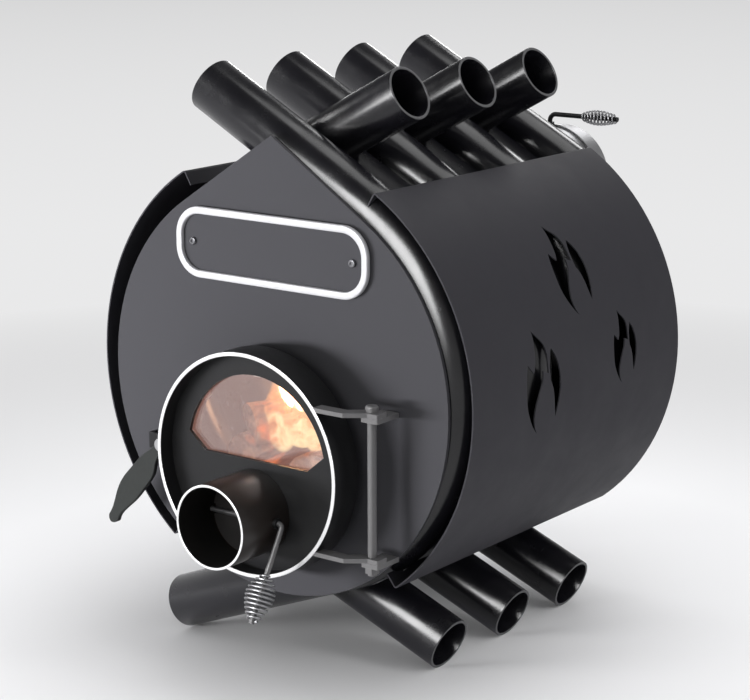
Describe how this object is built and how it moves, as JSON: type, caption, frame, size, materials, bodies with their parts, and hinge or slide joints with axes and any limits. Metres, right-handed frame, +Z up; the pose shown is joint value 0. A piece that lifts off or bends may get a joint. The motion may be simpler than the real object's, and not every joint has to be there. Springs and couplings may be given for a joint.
{
  "type": "convection wood stove",
  "caption": "Black wood stove of bent crossing air tubes between notched casings with flame cut-outs, round door with segment window, air pipe and wound-wire damper grips.",
  "frame": {"origin": "middle of the footprint at floor level, under the centre of the overall box", "axes": "+Z up, -Y out of the front door, +X to the right seen from the front"},
  "size_m": [0.48, 0.6482, 0.6169],
  "materials": {
    "tube_enamel": "gloss",
    "black_paint": "satin",
    "plate_paint": "satin",
    "casing_paint": "satin",
    "bright_steel": "satin",
    "plain_steel": "satin",
    "stove_glass": "gloss",
    "seal_rope": "matte"
  },
  "bodies": {
    "stove": {"tube_right_1": "tube_enamel", "tube_right_2": "tube_enamel", "tube_right_3": "tube_enamel", "tube_right_4": "tube_enamel", "tube_left_1": "tube_enamel", "tube_left_2": "tube_enamel", "tube_left_3": "tube_enamel", "web_right_1": "black_paint", "web_right_2": "black_paint", "web_right_3": "black_paint", "web_left_1": "black_paint", "web_left_2": "black_paint", "web_left_3": "black_paint", "web_left_4": "black_paint", "front_plate": "plate_paint", "rear_plate": "plate_paint", "baffle": "black_paint", "injector_nozzles": "black_paint", "casing_right": "casing_paint", "casing_left": "casing_paint", "door_collar": "black_paint", "flue_neck": "black_paint", "flue_bushes": "black_paint", "hinge_lug_top": "black_paint", "hinge_lug_low": "black_paint", "hinge_bolt": "black_paint", "hinge_nut": "black_paint", "latch_keeper": "black_paint", "nameplate_frame": "bright_steel", "nameplate_field": "plate_paint", "nameplate_screws": "plain_steel"},
    "door": {"door_drum": "black_paint", "door_disc": "black_paint", "door_seal": "seal_rope", "window_glass": "stove_glass", "glass_clips": "plain_steel", "clip_screws": "plain_steel", "air_pipe": "black_paint", "air_bushes": "black_paint", "hinge_bar_top": "black_paint", "hinge_bar_low": "black_paint", "latch_boss": "black_paint"},
    "air_damper": {"air_damper_rod": "black_paint", "air_damper_disc": "black_paint", "air_damper_screws": "plain_steel", "air_damper_grip": "bright_steel"},
    "flue_damper": {"flue_damper_rod": "black_paint", "flue_damper_disc": "black_paint", "flue_damper_screws": "plain_steel", "flue_damper_grip": "bright_steel"},
    "latch": {"latch_shaft": "plain_steel", "latch_lever": "black_paint", "latch_cam": "black_paint"}
  },
  "joints": [
    {"name": "door_hinge", "type": "hinge", "parent": "stove", "child": "door", "pos_m": [0.145, -0.24494, 0.22], "axis": [0, 0, 1], "range_deg": [0, 120]},
    {"name": "latch_turn", "type": "hinge", "parent": "door", "child": "latch", "pos_m": [-0.1246, -0.23994, 0.222], "axis": [0, 1, 0], "range_deg": [-35, 45]},
    {"name": "air_damper_turn", "type": "hinge", "parent": "door", "child": "air_damper", "pos_m": [0, -0.26994, 0.1727], "axis": [1, 0, 0], "range_deg": [-60, 0]},
    {"name": "flue_damper_turn", "type": "hinge", "parent": "stove", "child": "flue_damper", "pos_m": [0, 0.29006, 0.44498], "axis": [0, 0, 1], "range_deg": [0, 90]}
  ]
}
